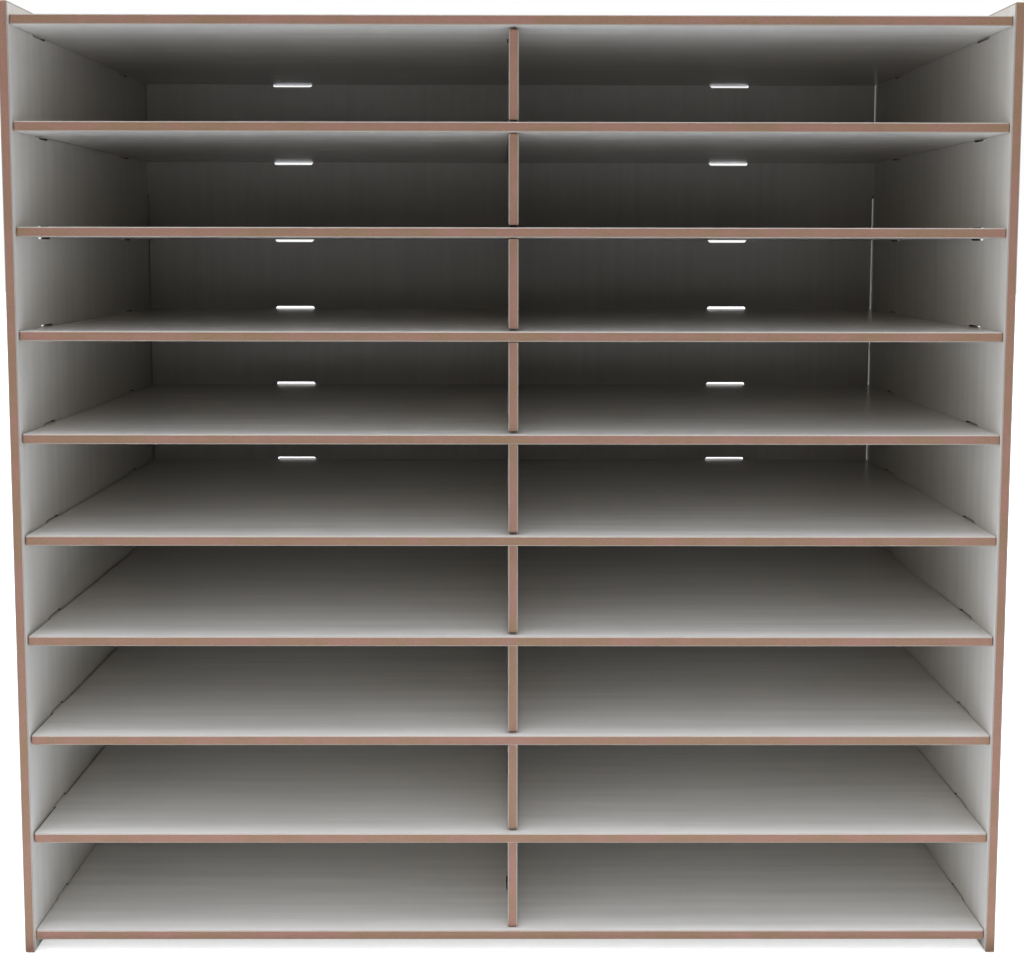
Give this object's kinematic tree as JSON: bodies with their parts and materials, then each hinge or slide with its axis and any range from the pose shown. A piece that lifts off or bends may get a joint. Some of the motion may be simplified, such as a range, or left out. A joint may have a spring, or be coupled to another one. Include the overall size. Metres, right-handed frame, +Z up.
{
  "type": "pigeonhole mail sorter",
  "caption": "Open-fronted sorter in two columns of flat pigeonholes for mail and paper, slotted together from white-faced boards with bare brown edges.",
  "frame": {"origin": "on the floor under the middle of the sorter", "axes": "+X across the front to the right, +Y from the open front to the back, +Z up"},
  "size_m": [0.9, 0.38, 0.869],
  "materials": {
    "side_board": "white satin facing, bare brown edge",
    "back_board": "white satin facing, bare brown edge",
    "divider_board": "white satin facing, bare brown edge",
    "shelf_board": "white satin facing, bare brown edge"
  },
  "bodies": {
    "root": {"side_left": "side_board", "side_right": "side_board", "back_panel": "back_board", "centre_divider": "divider_board", "shelf_01": "shelf_board", "shelf_02": "shelf_board", "shelf_03": "shelf_board", "shelf_04": "shelf_board", "shelf_05": "shelf_board", "shelf_06": "shelf_board", "shelf_07": "shelf_board", "shelf_08": "shelf_board", "shelf_09": "shelf_board", "shelf_10": "shelf_board"}
  },
  "joints": []
}
